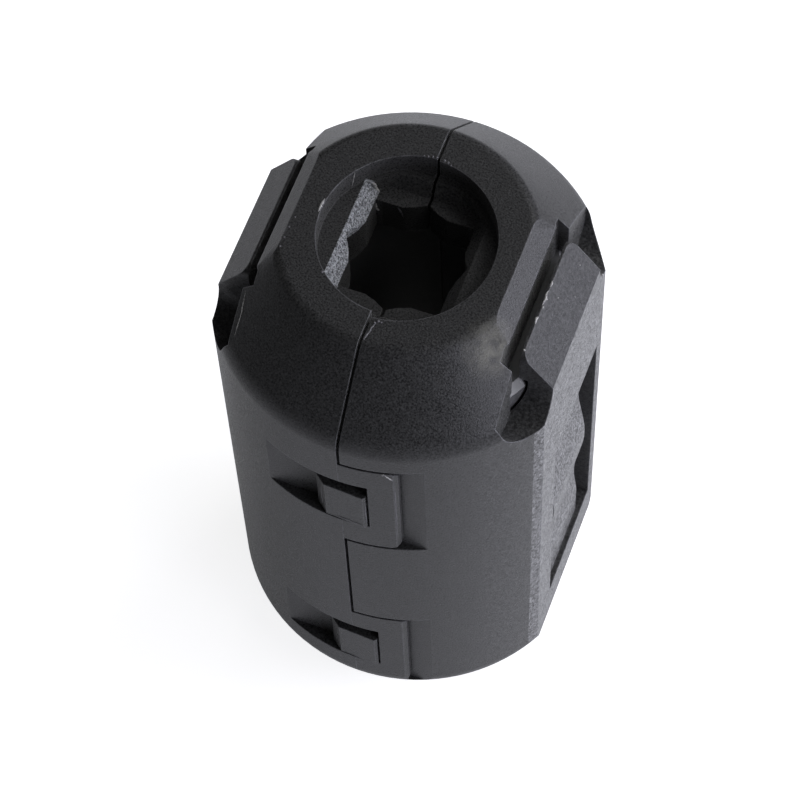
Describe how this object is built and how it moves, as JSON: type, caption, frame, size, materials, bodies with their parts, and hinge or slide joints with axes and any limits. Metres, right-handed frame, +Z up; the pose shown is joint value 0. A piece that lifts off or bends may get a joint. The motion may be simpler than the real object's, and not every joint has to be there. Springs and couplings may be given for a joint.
{
  "type": "clip-on ferrite bead",
  "caption": "Barrel-shaped plastic snap case that closes round a cable, holding a split ferrite core, with toothed cable grips at both ends.",
  "frame": {"origin": "on the cable axis, at the plane of the lower end ring that the part stands on", "axes": "+Z up along the cable axis, -Y towards the latches, +Y towards the hinge, +X across the flat sides towards the shell with the catches"},
  "size_m": [0.0176, 0.0207, 0.036],
  "materials": {
    "case": "moulded nylon, finely textured, matte",
    "core": "sintered and ground ferrite, dull grey black"
  },
  "bodies": {
    "left_shell": {"case_half_left": "case", "ferrite_core_left": "core", "hinge_strap_upper": "case", "hinge_strap_lower": "case"},
    "right_shell": {"case_half_right": "case", "ferrite_core_right": "core"},
    "upper_latch": {"latch_loop_upper": "case"},
    "lower_latch": {"latch_loop_lower": "case"}
  },
  "joints": [
    {"name": "case_hinge", "type": "hinge", "parent": "left_shell", "child": "right_shell", "pos_m": [0, 0.01, 0.018], "axis": [0, 0, 1], "range_deg": [0, 170], "deforming": ["hinge_strap_upper", "hinge_strap_lower", "latch_loop_upper", "latch_loop_lower"]},
    {"name": "upper_latch_flex", "type": "hinge", "parent": "left_shell", "child": "upper_latch", "pos_m": [-0.00008, -0.0098, 0.0257], "axis": [0, 0, -1], "range_deg": [0, 35], "stiffness_Nm_per_rad": 0.03},
    {"name": "lower_latch_flex", "type": "hinge", "parent": "left_shell", "child": "lower_latch", "pos_m": [-0.00008, -0.0098, 0.00835], "axis": [0, 0, -1], "range_deg": [0, 35], "stiffness_Nm_per_rad": 0.03}
  ]
}
